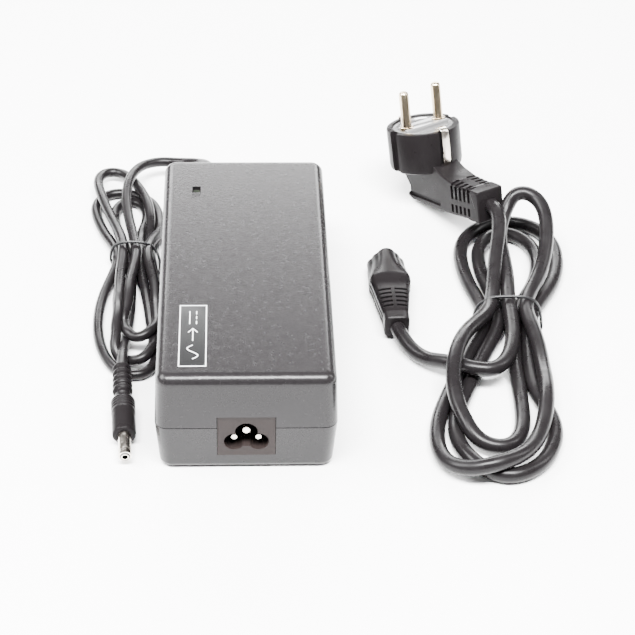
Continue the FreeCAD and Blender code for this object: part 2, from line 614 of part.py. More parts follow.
def make_connector():
    """The line connector on the table: a three-lobed nose and a body that narrows to the cord."""
    body = new_body("connector_body")
    half, rise = size("pole_spacing") / 2, size("earth_rise")
    nose = size("nose_length")
    poles = new_sketch(body, "XZ_Plane")
    add_circle(poles, "nose_pole", -half, 0.0, "left")
    feature(body, "Pad", poles, "nose_length + 2")
    right = new_sketch(body, "XZ_Plane")
    add_circle(right, "nose_pole", half, 0.0, "right")
    web = new_sketch(body, "XZ_Plane")
    add_rectangle(web, "pole_spacing", "earth_rise", "earth_rise / 2 - 2.2")
    feature(body, "Pad", web, "nose_length + 2")
    feature(body, "Pad", right, "nose_length + 2")
    earth = new_sketch(body, "XZ_Plane")
    add_circle(earth, "nose_earth", 0.0, rise, "top")
    feature(body, "Pad", earth, "nose_length + 2")
    thick = new_sketch(body, "XZ_Plane", "nose_length")
    add_rectangle(thick, "connector_width", "connector_height", "connector_height / 2 - 4.8")
    thin = new_sketch(body, "XZ_Plane", "connector_length")
    add_rectangle(thin, "connector_tail", "connector_tail", "2.0")
    loft = body.newObject("PartDesign::AdditiveLoft", "connector_loft")
    loft.Profile = thick
    loft.Sections = [(thin, "")]
    loft.Ruled = True
    doc.recompute()
    fillet(body, "2", lambda edge: edge.BoundBox.YLength > size("connector_length") - nose - 4)
    holes = new_sketch(body, "XZ_Plane")
    add_circle(holes, "1.9", -half, 0.0, "left")
    add_circle(holes, "1.9", half, 0.0, "right")
    add_circle(holes, "2.2", 0.0, rise, "top")
    pocket(body, holes, "nose_length", reverse=True)
    body.Placement = CONNECTOR_PLACE
    contacts = []
    for x, z, outer, inner in ((-half, 0.0, 1.88, 1.3), (half, 0.0, 1.88, 1.3), (0.0, rise, 2.18, 1.6)):
        tube = Part.makeCylinder(outer, nose - 2.0, Vector(x, -1.8, z), Vector(0, -1, 0))
        bore = Part.makeCylinder(inner, nose - 3.0, Vector(x, -1.8, z), Vector(0, -1, 0))
        contacts.append(tube.cut(bore))
    free_shape("connector_contacts", Part.makeCompound(contacts), CONNECTOR_PLACE)


def make_plug():
    """The angled mains plug: a drum with two pins, earth strips on its sides, and a neck."""
    body = new_body("plug_body")
    drum = new_sketch(body)
    add_circle(drum, "drum_radius")
    feature(body, "Pad", drum, "drum_height", reverse=True)
    keel = new_sketch(body, "XZ_Plane")
    add_outline(keel, [(-14.5, -15.0), (-14.5, -24.0), (-11.0, -37.0), (22.0, -38.6), (51.0, -37.2),
                       (51.0, -22.6), (30.0, -21.6), (16.5, -17.0), (12.0, -15.0)])
    feature(body, "Pad", keel, "neck_width", midplane=True)
    fillet(body, "2.2", lambda edge: edge.BoundBox.ZMax < -20.2 and edge.BoundBox.YLength < 0.01
           and edge.BoundBox.XLength > 5.0)
    reach, deep = size("drum_radius"), size("strip_thick")
    for side in (-1, 1):
        slot = new_sketch(body, "XY_Plane", along=str(side * (reach - deep / 2)))
        add_rectangle(slot, "strip_thick + 0.1", "strip_width + 0.1")
        pocket(body, slot, "strip_length")
        groove = new_sketch(body, "XY_Plane")
        add_rectangle(groove, "5.0", "2.6", f"{side * (reach - 1.0)}")
        pocket(body, groove, "drum_height")
    inset = new_sketch(body)
    add_circle(inset, "drum_radius - 3.2")
    pocket(body, inset, "face_thick")
    holes = new_sketch(body, "XY_Plane", "-face_thick")
    half = size("pin_spacing") / 2
    add_circle(holes, "pin_radius - pin_step", 0.0, -half, "near")
    add_circle(holes, "pin_radius - pin_step", 0.0, half, "far")
    pocket(body, holes, "pin_root - face_thick")
    body.Placement = PLUG_PLACE

    carrier = new_body("plug_face")
    disc = new_sketch(carrier, "XY_Plane", "-face_thick")
    add_circle(disc, "drum_radius - 3.25")
    feature(carrier, "Pad", disc, "face_thick")
    holes = new_sketch(carrier)
    add_circle(holes, "pin_radius - pin_step", 0.0, -half, "near")
    add_circle(holes, "pin_radius - pin_step", 0.0, half, "far")
    add_circle(holes, "2.4", -9.0, 0.0, "earth")
    pocket(carrier, holes, "face_thick")
    carrier.Placement = PLUG_PLACE

    pins = []
    radius, root = size("pin_radius"), size("pin_root")
    for y in (-half, half):
        rod = Part.makeCylinder(radius, size("pin_length"), Vector(0, y, 0))
        top = max(rod.Edges, key=lambda edge: edge.BoundBox.ZMin)
        shank = Part.makeCylinder(radius - size("pin_step") - 0.02, root - 0.1, Vector(0, y, 0.1 - root))
        pins.append(rod.makeFillet(size("pin_tip"), [top]).fuse(shank))
    free_shape("plug_pins", Part.makeCompound(pins), PLUG_PLACE)
    strips = []
    for side in (-1, 1):
        low_x = side * (reach - deep / 2) - deep / 2
        strips.append(Part.makeBox(deep, size("strip_width"), size("strip_length") - 0.1,
                                   Vector(low_x, -size("strip_width") / 2, -size("strip_length") + 0.1)))
    free_shape("plug_earth_strips", Part.makeCompound(strips), PLUG_PLACE)


def make_mains_lead():
    make_connector()
    make_plug()
    tail = CONNECTOR_PLACE.multVec(Vector(0, -size("connector_length"), 2.0))
    make_cord("mains_cord_run", [
        tuple(tail), (71.5, -5.0, 5.4), (79.0, -14.0, 3.8), (89.0, -21.0, 3.5), (98.0, -30.0, 3.5)],
        size("mains_diameter"))
    neck = PLUG_PLACE.multVec(Vector(51.0, 0, -30.0))
    waist = ((104.0, -2.0, 2.0), (136.0, 36.0, 17.0))
    make_hank("mains_cord_hank", *waist, [
        (((104.0, -2.0), (136.0, -2.0)), (77.0, -64.0), (104.0, -98.0), (131.0, -64.0), 0.0, 11.0),
        (((104.0, 36.0), (136.0, 36.0)), (100.0, 66.0), (126.0, 97.0), (152.0, 66.0), 0.0, 11.0)])
    make_tie("mains_tie", *waist, 17.0)
    make_cord("mains_cord_tail", [
        tuple(neck), (123.5, 64.0, 26.5), (124.5, 50.0, 22.5), (122.0, 37.5, 15.0), (119.0, 27.0, 12.0)],
        size("mains_diameter"))


make_mains_lead()

# ---------------------------------------------------------------- check and export

doc.recompute()
for thing in doc.Objects:
    if any(state in ("Invalid", "Error") for state in thing.State):
        raise RuntimeError(f"{thing.Label}: {thing.State}")
os.makedirs("parts", exist_ok=True)
for piece in pieces:
    shape = piece.Shape
    if shape.isNull() or not shape.isValid() or not shape.Solids:
        raise RuntimeError(f"{piece.Label}: bad shape")
    shape.exportStep(f"parts/{piece.Label}.step")
    b = shape.BoundBox
    print(f"{piece.Label}: {shape.Volume:.0f} mm3, {len(shape.Solids)} solid(s), "
          f"z {b.ZMin:.2f} to {b.ZMax:.2f}")
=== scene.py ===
"""Laptop power adapter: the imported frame, dressed with its cords, mouldings and finishes.

Metres, in the frame of the CAD model: +Z up, the mains inlet at -Y, the DC lead leaving at +Y.
Each moulding is drawn in millimetres, in axes of its own.
"""
import json
import math

import bmesh
import bpy
import numpy as np
from mathutils import Euler, Matrix, Vector


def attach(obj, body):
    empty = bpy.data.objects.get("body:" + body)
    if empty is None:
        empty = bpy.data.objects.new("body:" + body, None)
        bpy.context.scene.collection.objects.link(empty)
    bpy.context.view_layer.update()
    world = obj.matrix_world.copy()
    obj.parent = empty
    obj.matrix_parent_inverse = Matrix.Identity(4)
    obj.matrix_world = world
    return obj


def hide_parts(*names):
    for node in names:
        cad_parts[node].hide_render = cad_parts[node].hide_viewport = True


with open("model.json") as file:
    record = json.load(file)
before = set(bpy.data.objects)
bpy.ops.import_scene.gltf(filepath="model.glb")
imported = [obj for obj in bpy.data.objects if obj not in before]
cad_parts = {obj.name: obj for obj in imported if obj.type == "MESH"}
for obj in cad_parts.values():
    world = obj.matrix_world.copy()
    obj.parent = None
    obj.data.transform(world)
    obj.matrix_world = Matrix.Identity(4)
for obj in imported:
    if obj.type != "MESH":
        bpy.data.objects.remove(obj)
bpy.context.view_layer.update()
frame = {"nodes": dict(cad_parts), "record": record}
nodes = frame["nodes"]
MM = 0.001
SIDES = (-1, 1)


def added(name, data):
    """A new object in the scene."""
    made = bpy.data.objects.new(name, data)
    bpy.context.scene.collection.objects.link(made)
    return made


# ---------------------------------------------------------------- camera

CAMERA_PLACE = Vector((-0.00434, -0.66846, 0.53023))
CAMERA_PITCH = math.radians(37.5)
CAMERA_HEADING = math.radians(3.1256)
CAMERA_ROLL = math.radians(-1.6273)
CAMERA_LENS = 107.71
CAMERA_SENSOR = 36.0
CAMERA_CLIP = 0.05


def make_camera():
    """The camera stands in front of the brick, above it, and looks down along it."""
    camera = bpy.data.cameras.new("camera")
    camera.lens = CAMERA_LENS
    camera.sensor_width = CAMERA_SENSOR
    camera.clip_start = CAMERA_CLIP
    holder = added("camera", camera)
    sin_h, cos_h = math.sin(CAMERA_HEADING), math.cos(CAMERA_HEADING)
    sin_p, cos_p = math.sin(CAMERA_PITCH), math.cos(CAMERA_PITCH)
    forward = Vector((sin_h * cos_p, cos_h * cos_p, -sin_p))
    level_right = Vector((cos_h, -sin_h, 0.0))
    level_down = forward.cross(level_right)
    right = math.cos(CAMERA_ROLL) * level_right + math.sin(CAMERA_ROLL) * level_down
    down = math.cos(CAMERA_ROLL) * level_down - math.sin(CAMERA_ROLL) * level_right
    axes = Matrix((right, -down, -forward)).transposed()
    holder.matrix_world = Matrix.Translation(CAMERA_PLACE) @ axes.to_4x4()
    bpy.context.scene.camera = holder


make_camera()

# ---------------------------------------------------------------- cords

# How a tied cord settles. In each round it goes a share of the way back to where it was drawn, and a share
# of the way to a smoother line. Strands part more readily upwards than sideways, and a strand straight
# through another is nudged up. Runs that are fewer than NEIGHBOURS apart along the cord don't press on each
# other. The route's first and last few points are held.
SETTLE_ROUNDS = 300
PULL_BACK = 0.05
SMOOTHING = 0.03
LIFT = 2.5
NUDGE_UP = 1e-4
NEIGHBOURS = 3
HELD_POINTS = 3
# These keep a division by nothing out of runs that are parallel and strands that share a place.
NEARLY_PARALLEL = 1e-3
TINY = 1e-9
# How finely a cord is drawn, round it and along it.
CORD_ROUNDNESS = 7
CORD_STEPS = 6


def in_metres(points):
    """Points given in millimetres."""
    return [Vector(point) * MM for point in points]


def through(guides, spacing):
    """Evenly spaced points on the smooth line through a hank's guide points, its two ends left out."""
    guides = np.array([tuple(guide) for guide in guides])
    knots = np.concatenate(([0.0], np.cumsum(np.linalg.norm(np.diff(guides, axis=0), axis=1))))
    width = np.diff(knots)
    count = len(guides)
    system = np.zeros((count, count))
    changes = np.zeros((count, 3))
    system[0, 0] = system[-1, -1] = 1.0
    for row in range(1, count - 1):
        system[row, row - 1:row + 2] = width[row - 1], 2 * (width[row - 1] + width[row]), width[row]
        slope_before = (guides[row] - guides[row - 1]) / width[row - 1]
        slope_after = (guides[row + 1] - guides[row]) / width[row]
        changes[row] = 6 * (slope_after - slope_before)
    bends = np.linalg.solve(system, changes)
    made = []
    for along in np.arange(knots[1], knots[-2], spacing):
        run = min(int(np.searchsorted(knots, along, side="right")) - 1, count - 2)
        after = (along - knots[run]) / width[run]
        before = (knots[run + 1] - along) / width[run]
        straight = before * guides[run] + after * guides[run + 1]
        bulge = (before ** 3 - before) * bends[run] + (after ** 3 - after) * bends[run + 1]
        made.append(Vector(straight + bulge * width[run] ** 2 / 6))
    return made


def nearest_on_segments(points):
    """For every two runs of a polyline: where they come nearest, and the step between those places."""
    start, run = points[:-1], np.diff(points, axis=0)
    gap = start[:, None] - start[None, :]
    own = np.einsum("ij,ij->i", run, run)
    first, second = own[:, None], own[None, :]
    both = run @ run.T
    gap_first = np.einsum("ijk,ik->ij", gap, run)
    gap_second = np.einsum("ijk,jk->ij", gap, run)
    spread = np.maximum(first * second - both * both, NEARLY_PARALLEL * first * second)
    on_first = np.clip((both * gap_second - gap_first * second) / spread, 0, 1)
    on_second = np.clip((both * on_first + gap_second) / second, 0, 1)
    on_first = np.clip((both * on_second - gap_first) / first, 0, 1)
    step = gap + on_first[:, :, None] * run[:, None] - on_second[:, :, None] * run[None, :]
    return on_first, on_second, step


def settle(points, diameter):
    """Lay a tied cord down: crossing strands rest on each other, and all of them on the floor."""
    wanted = np.array([tuple(point) for point in points])
    laid = wanted.copy()
    first, second = np.triu_indices(len(laid) - 1, k=NEIGHBOURS)
    for _ in range(SETTLE_ROUNDS):
        on_first, on_second, step = nearest_on_segments(laid)
        step = step[first, second]
        distance = np.linalg.norm(step, axis=1)
        close = distance < diameter
        a, b = first[close], second[close]
        push = step[close] * (1.0, 1.0, LIFT) + (0.0, 0.0, NUDGE_UP)
        push_length = np.maximum(np.linalg.norm(push, axis=1), TINY)
        push *= (0.5 * (diameter - distance[close]) / push_length)[:, None]
        near_a, near_b = on_first[a, b][:, None], on_second[a, b][:, None]
        move = np.zeros_like(laid)
        weight = np.zeros(len(laid))
        run_ends = ((a, 1 - near_a, 1), (a + 1, near_a, 1), (b, 1 - near_b, -1), (b + 1, near_b, -1))
        for index, share, sign in run_ends:
            np.add.at(move, index, sign * share * push)
            np.add.at(weight, index, share[:, 0])
        laid += move / np.maximum(weight, 1.0)[:, None]
        laid += PULL_BACK * (wanted - laid)
        smooth = laid.copy()
        smooth[1:-1] = (laid[:-2] + laid[2:]) / 2
        laid += SMOOTHING * (smooth - laid)
        laid[:, 2] = np.maximum(laid[:, 2], diameter / 2)
        laid[:HELD_POINTS] = wanted[:HELD_POINTS]
        laid[-HELD_POINTS:] = wanted[-HELD_POINTS:]
    return [Vector(point) for point in laid]


def hank_route(run, hank, tail, diameter, spacing):
    """The whole route of a tied cord: its way in, the turns of its hank, and its way out."""
    turns = through([run[-1], *hank, tail[0]], spacing)
    return settle([*run, *turns, *tail], diameter)


def make_cord(name, points, diameter):
    """A round cord: one open NURBS spline with those control points."""
    curve = bpy.data.curves.new(name, "CURVE")
    curve.dimensions = "3D"
    curve.bevel_depth = diameter / 2
    curve.bevel_resolution = CORD_ROUNDNESS
    curve.resolution_u = CORD_STEPS
    curve.use_fill_caps = True
    spline = curve.splines.new("NURBS")
    spline.points.add(len(points) - 1)
    for control, point in zip(spline.points, points):
        control.co = (*point, 1.0)
    spline.order_u = 3
    spline.use_endpoint_u = True
    return added(name, curve)


DC_DIAMETER = 4.8 * MM
MAINS_DIAMETER = 6.8 * MM
DC_HANK_SPACING = 5.0 * MM
MAINS_HANK_SPACING = 7.0 * MM

# The DC lead: out of the brick's gland, down to the table and over the hank's far loops to its tie.
DC_RUN = in_metres([
    (-15.0, 106.0, 23.0), (-16.5, 118.0, 20.5), (-22.0, 131.0, 13.5), (-31.5, 139.5, 8.0),
    (-43.0, 142.5, 8.0), (-53.0, 134.0, 11.0), (-57.5, 120.0, 12.5), (-58.0, 104.0, 11.0),
    (-56.0, 90.0, 9.5), (-53.0, 77.0, 9.0)])
# Its hank: places at the tie, and between them the places that each loop goes round.
DC_HANK = in_metres([
    (-50.6, 64.5, 8.8),
    (-51.8, 46.0, 8.8), (-53.8, 28.0, 8.6), (-55.4, 12.0, 8.0), (-53.4, 0.4, 7.6), (-47.0, -4.6, 7.2),
    (-40.6, 0.2, 7.0), (-39.9, 12.0, 7.0), (-41.2, 37.0, 7.4),
    (-45.4, 64.5, 8.6),
    (-41.6, 81.0, 4.5), (-40.8, 97.0, 2.5), (-44.5, 111.0, 2.5), (-54.0, 119.0, 2.5), (-65.0, 120.5, 2.5),
    (-72.3, 112.0, 2.5), (-71.3, 99.0, 2.5), (-66.5, 84.0, 2.8), (-59.4, 64.5, 4.1),
    (-63.5, 43.0, 2.8), (-66.5, 20.0, 2.5), (-65.0, 1.0, 2.5), (-60.0, -14.0, 2.5), (-52.5, -22.5, 2.5),
    (-44.5, -22.5, 2.5), (-39.8, -12.0, 2.5), (-39.4, 5.0, 2.5), (-39.9, 28.0, 2.6), (-44.2, 64.5, 4.1),
    (-45.6, 82.0, 3.2), (-46.0, 99.0, 4.0), (-48.8, 112.0, 6.5), (-53.0, 121.0, 7.4), (-56.8, 130.4, 5.5),
    (-61.8, 136.6, 4.2), (-67.8, 137.2, 4.4), (-71.8, 131.6, 5.4), (-71.6, 120.0, 7.0), (-64.2, 93.0, 7.4),
    (-56.8, 64.5, 8.6),
    (-57.6, 46.0, 7.8), (-56.8, 28.0, 7.8), (-56.2, 8.0, 8.2), (-55.8, -4.0, 7.2), (-52.2, -13.0, 6.0),
    (-46.2, -15.8, 5.2), (-40.8, -10.0, 5.0), (-40.4, 3.0, 4.6), (-43.4, 24.0, 3.4), (-49.0, 64.5, 4.1),
    (-47.6, 82.0, 2.8), (-46.6, 98.0, 2.5), (-48.6, 109.0, 2.5), (-55.0, 114.2, 2.5), (-61.8, 109.0, 2.5),
    (-62.8, 97.0, 2.5), (-58.8, 80.0, 3.0), (-54.2, 64.5, 4.1)])
# From the tie, under the hank, to the plug's boot.
DC_TAIL = in_metres([
    (-52.2, 46.0, 2.8), (-51.6, 28.0, 2.5), (-52.6, 10.0, 2.7), (-53.6, -5.0, 5.0), (-53.9, -15.0, 8.2),
    (-53.7, -24.6, 8.7)])

# The mains lead: out of the connector's tail, over two legs of the hank and up to its tie.
MAINS_RUN = in_metres([
    (68.41, 5.03, 6.9), (71.5, -5.0, 5.4), (79.0, -14.0, 3.8), (89.0, -22.5, 7.0), (98.0, -31.0, 10.0),
    (109.0, -33.0, 10.0), (116.5, -23.0, 10.0), (119.8, -9.0, 10.2), (120.3, 4.0, 10.4)])
MAINS_HANK = in_metres([
    (120.0, 17.0, 10.6),
    (121.0, 36.0, 12.0), (120.2, 55.0, 17.5), (120.2, 67.0, 24.0), (123.6, 77.6, 28.5), (131.6, 82.4, 30.0),
    (139.6, 77.8, 28.5), (142.6, 66.0, 24.4), (141.2, 52.0, 18.4), (135.5, 35.0, 12.0), (127.4, 17.0, 10.4),
    (128.8, 0.0, 9.0), (130.2, -18.0, 7.5), (130.0, -38.0, 9.5), (127.5, -57.0, 9.0), (121.5, -74.0, 7.5),
    (110.0, -87.5, 9.5), (96.0, -92.0, 8.5), (84.0, -86.0, 5.0), (80.0, -71.0, 3.5), (82.5, -53.0, 3.5),
    (91.0, -32.0, 3.5), (101.0, -9.0, 3.5), (109.8, 17.0, 3.6),
    (105.5, 38.0, 3.5), (102.8, 56.0, 3.5), (103.8, 73.0, 3.5), (111.5, 86.0, 3.5), (124.0, 92.5, 3.5),
    (138.0, 91.0, 3.5), (147.0, 80.0, 3.5), (149.0, 63.0, 3.5), (143.5, 41.0, 3.5), (130.4, 17.0, 3.6),
    (126.0, -6.0, 3.5), (124.6, -24.0, 3.5), (128.0, -43.0, 3.4), (131.8, -58.0, 3.4), (128.8, -74.0, 3.4),
    (119.5, -87.0, 3.4), (106.5, -91.5, 3.4), (95.5, -83.5, 3.4), (88.6, -67.0, 3.4), (91.0, -49.0, 3.4),
    (98.5, -28.0, 3.4), (107.0, -6.0, 3.4), (116.6, 17.0, 3.6),
    (113.2, 40.0, 3.5), (111.0, 60.0, 3.5), (114.6, 77.0, 3.5), (125.0, 84.5, 3.5), (136.0, 77.5, 3.5),
    (139.5, 62.0, 3.5), (134.5, 40.0, 3.5), (123.6, 17.0, 3.6),
    (121.5, -5.0, 3.6), (119.8, -27.0, 3.5), (118.8, -48.0, 3.5), (117.0, -64.0, 3.6), (110.0, -74.4, 4.0),
    (99.5, -73.6, 5.0), (91.6, -61.0, 8.5), (88.8, -44.0, 13.0), (91.4, -25.0, 16.8), (100.5, -4.0, 14.5),
    (113.0, 17.0, 10.4)])
# From the tie up into the plug's neck.
MAINS_TAIL = in_metres([
    (115.0, 31.0, 11.6), (117.2, 46.0, 15.0), (119.8, 60.0, 21.0), (120.2, 70.5, 25.4),
    (117.34, 76.72, 24.63)])


dc_route = hank_route(DC_RUN, DC_HANK, DC_TAIL, DC_DIAMETER, DC_HANK_SPACING)
mains_route = hank_route(MAINS_RUN, MAINS_HANK, MAINS_TAIL, MAINS_DIAMETER, MAINS_HANK_SPACING)
dc_cord = make_cord("dc_cord", dc_route, DC_DIAMETER)
mains_cord = make_cord("mains_cord", mains_route, MAINS_DIAMETER)

# ---------------------------------------------------------------- materials

# Noise seldom leaves this range, which is spread over a finish's own.
NOISE_LOW, NOISE_HIGH = 0.3, 0.7
# Handling wears edges paler: from how sharp an edge, to how sharp, how much of it, and how much paler.
WEAR_FROM, WEAR_TO, WEAR_SHARE, WEAR_PALER = 0.52, 0.62, 0.8, 1.35
COAT_ROUGHNESS = 0.12


class Finish:
    """One procedural material, built up from patterns in the object's own coordinates."""

    def __init__(self, name, base, roughness, metallic=0.0, specular=0.5, coat=0.0):
        self.material = bpy.data.materials.new(name)
        self.material.use_nodes = True
        self.tree = self.material.node_tree
        self.shader = self.tree.nodes["Principled BSDF"]
        self.shader.inputs["Metallic"].default_value = metallic
        self.shader.inputs["Specular IOR Level"].default_value = specular
        self.shader.inputs["Coat Weight"].default_value = coat
        self.shader.inputs["Coat Roughness"].default_value = COAT_ROUGHNESS
        self.base = base
        self.roughness = roughness
        self.place = self.tree.nodes.new("ShaderNodeTexCoord").outputs["Object"]
        self.relief = None

    def node(self, kind, **sockets):
        """A node with those values in its sockets."""
        made = self.tree.nodes.new(kind)
        for socket, value in sockets.items():
            made.inputs[socket.replace("_", " ")].default_value = value
        return made

    def link(self, source, target):
        self.tree.links.new(source, target)

    def noise(self, per_metre, detail=3.0, stretch=(1.0, 1.0, 1.0)):
        """Noise that repeats so many times a metre, drawn out along an axis where stretch is small."""
        scaled = self.node("ShaderNodeMapping", Scale=stretch)
        self.link(self.place, scaled.inputs["Vector"])
        made = self.node("ShaderNodeTexNoise", Scale=per_metre, Detail=detail)
        self.link(scaled.outputs["Vector"], made.inputs["Vector"])
        return made.outputs["Fac"]

    def pattern(self, kind, per_metre):
        """A texture other than noise that repeats so many times a metre."""
        made = self.node(kind, Scale=per_metre)
        self.link(self.place, made.inputs["Vector"])
        return made

    def between(self, factor, low, high):
        """The factor's middle range, spread over low to high."""
        made = self.node("ShaderNodeMapRange", From_Min=NOISE_LOW, From_Max=NOISE_HIGH,
                         To_Min=low, To_Max=high)
        self.link(factor, made.inputs["Value"])
        return made.outputs["Result"]

    def tint(self, factor, spread, warmth=0.0):
        """Colour: the base, lighter and darker by spread, and along edges a little paler from handling.

        Warmth leans the lighter parts towards red.
        """
        mixed = self.node("ShaderNodeMix")
        mixed.data_type = "RGBA"
        dark = [value * (1 - spread) for value in self.base]
        pale = [value * (1 + spread + shift * warmth) for value, shift in zip(self.base, (1, 0, -1))]
        mixed.inputs["A"].default_value = (*dark, 1)
        mixed.inputs["B"].default_value = (*pale, 1)
        self.link(factor, mixed.inputs["Factor"])
        worn = self.node("ShaderNodeMix")
        worn.data_type = "RGBA"
        worn.inputs["B"].default_value = (*[value * WEAR_PALER for value in self.base], 1)
        edge = self.node("ShaderNodeMapRange", From_Min=WEAR_FROM, From_Max=WEAR_TO,
                         To_Min=0.0, To_Max=WEAR_SHARE)
        self.link(self.node("ShaderNodeNewGeometry").outputs["Pointiness"], edge.inputs["Value"])
        self.link(edge.outputs["Result"], worn.inputs["Factor"])
        self.link(mixed.outputs["Result"], worn.inputs["A"])
        self.link(worn.outputs["Result"], self.shader.inputs["Base Color"])

    def sheen(self, factor, spread):
        """Roughness: the material's own, more and less by spread."""
        varied = self.between(factor, self.roughness - spread, self.roughness + spread)
        self.link(varied, self.shader.inputs["Roughness"])

    def raise_by(self, factor, depth):
        """Relief: the factor's hills and hollows, so deep in metres, on top of any given before."""
        made = self.node("ShaderNodeBump", Distance=depth, Strength=1.0)
        self.link(factor, made.inputs["Height"])
        if self.relief:
            self.link(self.relief, made.inputs["Normal"])
        self.relief = made.outputs["Normal"]
        self.link(self.relief, self.shader.inputs["Normal"])


def plain_finish(name, base, roughness, grain=900.0, depth=0.02 * MM, spread=0.08, **shader):
    """A finish with a mottled colour, uneven gloss and a fine grain."""
    made = Finish(name, base, roughness, **shader)
    made.tint(made.noise(per_metre=60.0, detail=6.0), spread=0.12)
    made.sheen(made.noise(per_metre=140.0, detail=8.0), spread)
    made.raise_by(made.noise(grain), depth)
    return made


def sparked_finish(name, base, roughness, **shader):
    """Spark-eroded mould texture: shallow pits of two sizes, and a colour mottled as finely as they are."""
    made = Finish(name, base, roughness, **shader)
    made.tint(made.noise(per_metre=950.0, detail=2.0), spread=0.3, warmth=0.02)
    made.sheen(made.noise(per_metre=420.0, detail=2.0), spread=0.03)
    made.raise_by(made.noise(per_metre=1300.0, detail=2.0), depth=0.013 * MM)
    pits = made.pattern("ShaderNodeTexVoronoi", per_metre=900.0).outputs["Distance"]
    made.raise_by(pits, depth=0.013 * MM)
    return made


def drawn_finish(name, base, roughness, stretch, **shader):
    """A finish with fine lines along one axis: drawn wire, brushed metal, printed film."""
    made = Finish(name, base, roughness, **shader)
    made.tint(made.noise(per_metre=80.0, detail=6.0), spread=0.15)
    made.sheen(made.noise(per_metre=500.0, detail=6.0, stretch=stretch), spread=0.1)
    made.raise_by(made.noise(per_metre=1000.0, stretch=stretch), depth=0.01 * MM)
    return made


def laminate_finish(name, base):
    """Green solder mask over a weave of glass cloth, with the darker lines of tracks under it."""
    made = Finish(name, base, roughness=0.35, coat=0.3)
    tracks = made.pattern("ShaderNodeTexBrick", per_metre=120.0).outputs["Fac"]
    made.tint(tracks, spread=0.35)
    made.sheen(made.noise(per_metre=300.0), spread=0.08)
    weave = made.pattern("ShaderNodeTexChecker", per_metre=1600.0).outputs["Fac"]
    made.raise_by(weave, depth=0.02 * MM)
    return made


def wound_finish(name, base):
    """Enamelled copper: turns of wire side by side."""
    made = Finish(name, base, roughness=0.28, metallic=1.0, coat=0.4)
    turns = made.pattern("ShaderNodeTexWave", per_metre=420.0).outputs["Fac"]
    made.tint(turns, spread=0.3)
    made.sheen(made.noise(per_metre=200.0), spread=0.08)
    made.raise_by(turns, depth=0.25 * MM)
    return made


CASE_TINT = (0.0068, 0.0061, 0.0066)
CORD_TINT = (0.0048, 0.0042, 0.0045)
MOULDED_TINT = (0.0052, 0.0045, 0.0048)
ALONG_Y = (1.0, 0.05, 1.0)
ALONG_Z = (1.0, 1.0, 0.05)
# One finish for each material slot: first the parts in sight, then the works inside the case.
finishes = {
    "case_plastic": sparked_finish("case_plastic", CASE_TINT, 0.25, specular=0.185),
    "badge_plastic": plain_finish("badge_plastic", (0.004, 0.004, 0.0042), 0.45, spread=0.05, specular=0.12),
    "label_film": drawn_finish("label_film", (0.16, 0.16, 0.165), 0.35, ALONG_Y, metallic=0.3),
    "lens_plastic": plain_finish("lens_plastic", (0.01, 0.012, 0.009), 0.35, depth=0.004 * MM, specular=0.1),
    "inlet_plastic": sparked_finish("inlet_plastic", (0.0105, 0.0078, 0.0074), 0.42, specular=0.1),
    "pin_nickel": drawn_finish("pin_nickel", (0.56, 0.52, 0.46), 0.2, ALONG_Z, metallic=1.0),
    "cord_pvc": plain_finish("cord_pvc", CORD_TINT, 0.3, grain=500.0, depth=0.015 * MM, specular=0.13),
    "moulded_pvc": plain_finish("moulded_pvc", MOULDED_TINT, 0.32, grain=1500.0, specular=0.04),
    # The plug face's light grey is painted reflection: a glancing reflection of the lights, put into its
    # colour.
    "plug_face_plastic": plain_finish("plug_face_plastic", (0.1, 0.099, 0.1), 0.2, spread=0.05, coat=0.4),
    "insulator_plastic": plain_finish("insulator_plastic", (0.006, 0.006, 0.006), 0.4),
    "tie_wire": plain_finish("tie_wire", (0.004, 0.004, 0.0045), 0.3, specular=0.3),
    "board_laminate": laminate_finish("board_laminate", (0.01, 0.06, 0.025)),
    "capacitor_sleeve": plain_finish("capacitor_sleeve", (0.01, 0.01, 0.014), 0.25, coat=0.3),
    "film_box": plain_finish("film_box", (0.35, 0.22, 0.02), 0.3),
    "disc_ceramic": plain_finish("disc_ceramic", (0.02, 0.07, 0.2), 0.3, coat=0.2),
    "semiconductor": sparked_finish("semiconductor", (0.008, 0.008, 0.008), 0.5),
    "sink_metal": drawn_finish("sink_metal", (0.5, 0.51, 0.52), 0.35, ALONG_Y, metallic=1.0),
    "ferrite": plain_finish("ferrite", (0.02, 0.02, 0.021), 0.5, grain=2500.0, depth=0.05 * MM),
    "winding_copper": wound_finish("winding_copper", (0.5, 0.2, 0.07)),
    "bobbin_plastic": plain_finish("bobbin_plastic", (0.012, 0.012, 0.012), 0.45),
    "screw_steel": drawn_finish("screw_steel", (0.4, 0.4, 0.42), 0.3, ALONG_Z, metallic=1.0),
    "fish_paper": plain_finish("fish_paper", (0.3, 0.26, 0.16), 0.7, grain=700.0, depth=0.05 * MM),
    "lamp_epoxy": plain_finish("lamp_epoxy", (0.04, 0.12, 0.04), 0.15, coat=0.5),
}
BRASS = drawn_finish("plated_brass", (0.56, 0.46, 0.33), 0.16, ALONG_Z, metallic=1.0).material
INK = plain_finish("white_ink", (0.5, 0.5, 0.5), 0.5, depth=0.005 * MM).material

for row in frame["record"]["subparts"]:
    dressed = nodes[row["node"]].data
    dressed.materials.clear()
    dressed.materials.append(finishes[row["material_slot"]].material)

# ---------------------------------------------------------------- shapes

# Points around a turned, oval or lobed ring.
AROUND = 96


def placed(x, y, z, yaw=0.0, pitch=0.0, roll=0.0):
    """Where a moulding's own axes stand: millimetres, and degrees turned about Z, then Y, then X."""
    turn = Euler([math.radians(angle) for angle in (roll, pitch, yaw)], "XYZ")
    return Matrix.Translation(Vector((x, y, z)) * MM) @ turn.to_matrix().to_4x4() @ Matrix.Scale(MM, 4)


